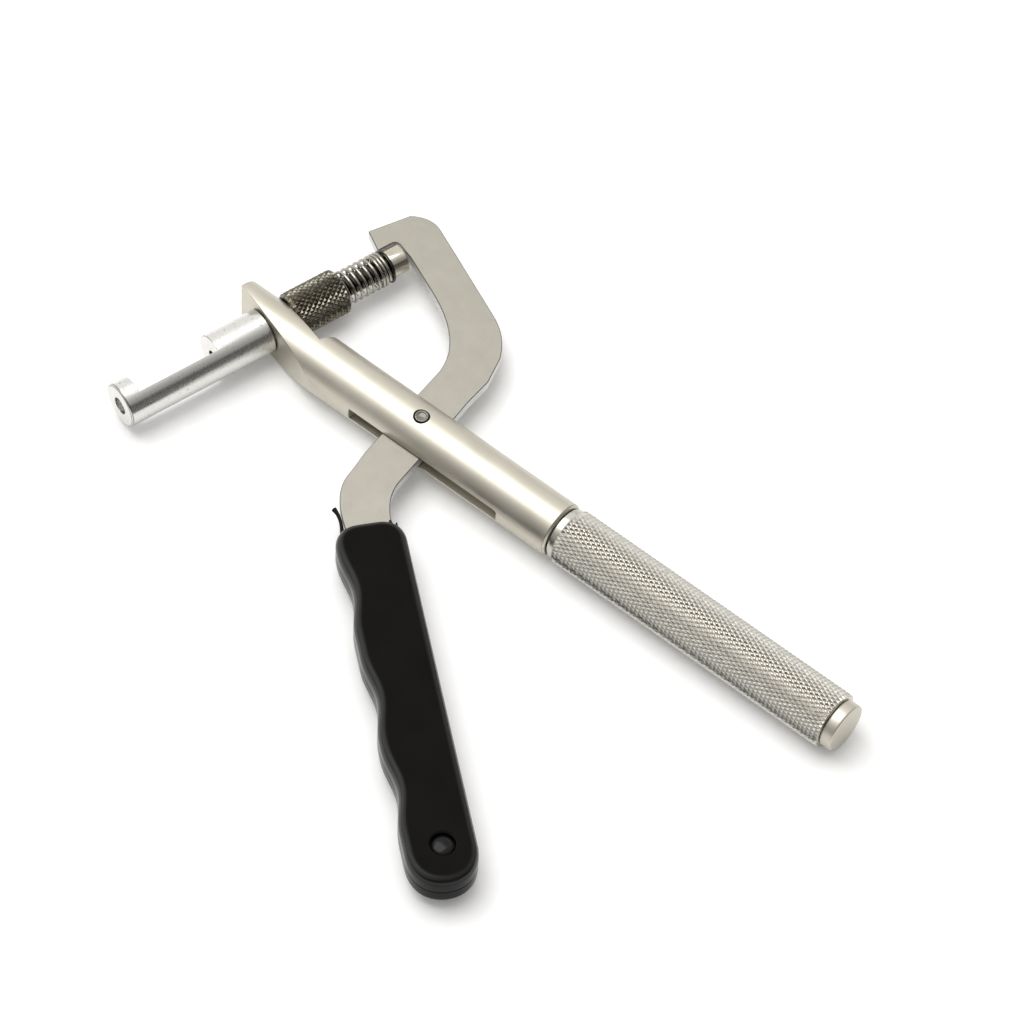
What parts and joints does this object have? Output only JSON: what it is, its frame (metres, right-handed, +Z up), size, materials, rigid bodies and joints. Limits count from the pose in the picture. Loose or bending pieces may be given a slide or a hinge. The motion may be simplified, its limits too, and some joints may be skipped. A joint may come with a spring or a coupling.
{
  "type": "bracelet link pin press plier",
  "caption": "Hand press plier for watch work: a hooked lever drives a sprung pusher through a skewed head towards a notched anvil bar.",
  "frame": {"origin": "under the middle of the tool's bounding box, on the surface that it lies on", "axes": "+X along the handle towards its end cap, +Y towards the hook and the push button, +Z up, along the lever's pivot pin"},
  "size_m": [0.1734, 0.131, 0.013],
  "materials": {
    "satin_steel": "satin, finely bead blasted",
    "plate_steel": "tumbled satin sheet steel",
    "bright_nickel": "bright nickel plate",
    "polished_aluminium": "polished, finely turned",
    "dark_knurl": "dark nickel over fine diamond knurling",
    "tool_steel": "ground",
    "black_steel": "black oxide",
    "black_plastic": "moulded, semi-gloss"
  },
  "bodies": {
    "body": {"body_bar": "satin_steel", "anvil_bar": "polished_aluminium", "pivot_pin": "tool_steel", "spring_base_washer": "bright_nickel", "return_spring": "bright_nickel", "knurled_handle": "satin_steel", "spare_punch_1": "tool_steel", "spare_punch_2": "tool_steel", "spare_punch_3": "tool_steel"},
    "lever": {"lever_plate": "plate_steel", "grip_upper_half": "black_plastic", "grip_lower_half": "black_plastic", "grip_screw": "black_steel", "grip_screw_nut": "black_steel"},
    "pusher": {"push_rod": "tool_steel", "push_button": "bright_nickel", "spring_cap_washer": "bright_nickel", "punch_holder": "tool_steel", "punch_pin": "tool_steel"},
    "clamp_nut": {"clamp_nut": "dark_knurl"},
    "end_cap": {"end_cap": "satin_steel"}
  },
  "joints": [
    {"name": "lever_pivot", "type": "hinge", "parent": "body", "child": "lever", "pos_m": [-0.02825, 0.02119, 0.0065], "axis": [0, 0, 1], "range_deg": [0, 11], "stiffness_Nm_per_rad": 2, "springref_deg": -5.73},
    {"name": "pusher_slide", "type": "slide", "parent": "body", "child": "pusher", "axis": [-0.284, -0.9588, 0], "range_m": [0, 0.0081], "stiffness_N_per_m": 800, "springref_m": -0.004, "deforming": ["return_spring"]},
    {"name": "clamp_nut_turn", "type": "hinge", "parent": "body", "child": "clamp_nut", "pos_m": [-0.06761, 0.03245, 0.0065], "axis": [0.284, 0.9588, 0], "continuous": true},
    {"name": "end_cap_pull", "type": "slide", "parent": "body", "child": "end_cap", "axis": [1, 0, 0], "range_m": [0, 0.012]}
  ],
  "couplings": [
    {"joint": "pusher_slide", "follows": "lever_pivot", "m_per_rad": 0.0415}
  ]
}
